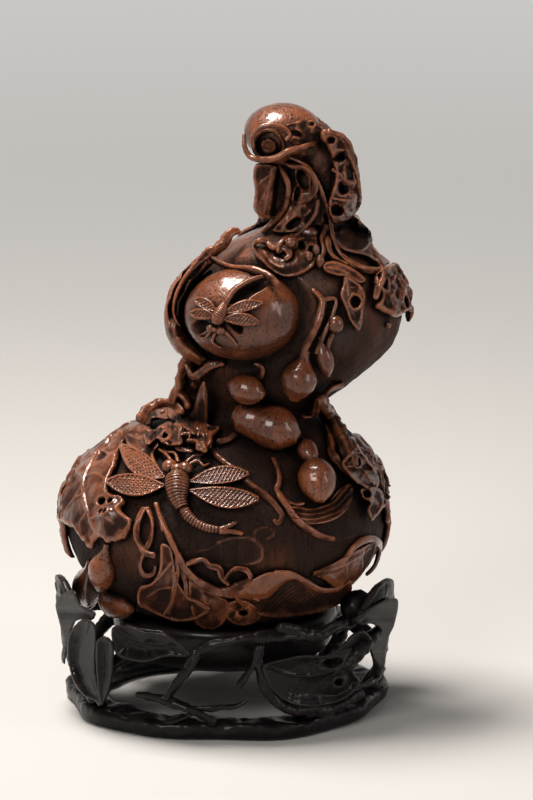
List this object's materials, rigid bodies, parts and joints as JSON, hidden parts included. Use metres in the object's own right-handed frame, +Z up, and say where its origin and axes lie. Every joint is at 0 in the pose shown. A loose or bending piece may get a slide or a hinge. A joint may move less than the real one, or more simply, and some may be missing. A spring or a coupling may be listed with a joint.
{
  "type": "carved double gourd on a stand",
  "caption": "Upright double-gourd desk carving with young gourds, vines, leaves and dragonflies in high relief, resting in the dished seat of an openwork leafy wooden stand.",
  "frame": {"origin": "on the floor, under the middle of the object's bounding box", "axes": "+Z up, -Y the front that the picture shows, +X to the viewer's right"},
  "size_m": [0.1246, 0.1254, 0.2194],
  "materials": {
    "bamboo_root": "polished red-brown bamboo root with dark pores",
    "dark_hardwood": "near-black hardwood with a soft polish"
  },
  "bodies": {
    "stand": {"foot_ring": "dark_hardwood", "seat_dish": "dark_hardwood", "stand_branch_1": "dark_hardwood", "stand_branch_2": "dark_hardwood", "stand_branch_3": "dark_hardwood", "stand_branch_4": "dark_hardwood", "stand_branch_5": "dark_hardwood", "stand_bud": "dark_hardwood", "stand_leaf_front": "dark_hardwood", "stand_leaf_left": "dark_hardwood", "stand_leaf_left_rear": "dark_hardwood", "stand_leaf_rear": "dark_hardwood", "stand_leaf_rear_left": "dark_hardwood", "stand_leaf_right": "dark_hardwood", "stand_leaf_ringed": "dark_hardwood", "stand_rail": "dark_hardwood", "stand_twig": "dark_hardwood"},
    "carving": {"arch_leaf": "bamboo_root", "back_gourd_low": "bamboo_root", "back_gourd_upper": "bamboo_root", "back_leaf_low": "bamboo_root", "back_leaf_upper": "bamboo_root", "back_vine": "bamboo_root", "cap_leaf": "bamboo_root", "crumpled_blossom": "bamboo_root", "curled_leaf": "bamboo_root", "fan_leaf": "bamboo_root", "fruit_stem_vine": "bamboo_root", "gourd_body": "bamboo_root", "hanging_gourd_lower": "bamboo_root", "hanging_gourd_outer": "bamboo_root", "hanging_gourd_upper": "bamboo_root", "large_dragonfly": "bamboo_root", "loop_vines": "bamboo_root", "main_vine": "bamboo_root", "mid_vine": "bamboo_root", "neck_handle": "bamboo_root", "neck_leaf": "bamboo_root", "neck_vines": "bamboo_root", "rim_leaf_right": "bamboo_root", "shoulder_cluster_right": "bamboo_root", "shoulder_leaf_left": "bamboo_root", "shoulder_leaf_right": "bamboo_root", "side_gourd": "bamboo_root", "side_leaf_left": "bamboo_root", "side_leaf_right": "bamboo_root", "small_dragonfly": "bamboo_root", "small_gourd_bud": "bamboo_root", "small_gourd_low": "bamboo_root", "small_gourd_lying": "bamboo_root", "small_gourd_pear": "bamboo_root", "small_gourd_rear": "bamboo_root", "small_gourd_round": "bamboo_root", "stem_end": "bamboo_root", "tip_leaf": "bamboo_root", "waist_strands": "bamboo_root", "waist_trunk": "bamboo_root", "waist_vine": "bamboo_root", "wavy_leaf": "bamboo_root", "young_gourd": "bamboo_root"}
  },
  "joints": [
    {"name": "carving_lift", "type": "slide", "parent": "stand", "child": "carving", "axis": [0, 0, 1], "range_m": [0, 0.08]}
  ]
}
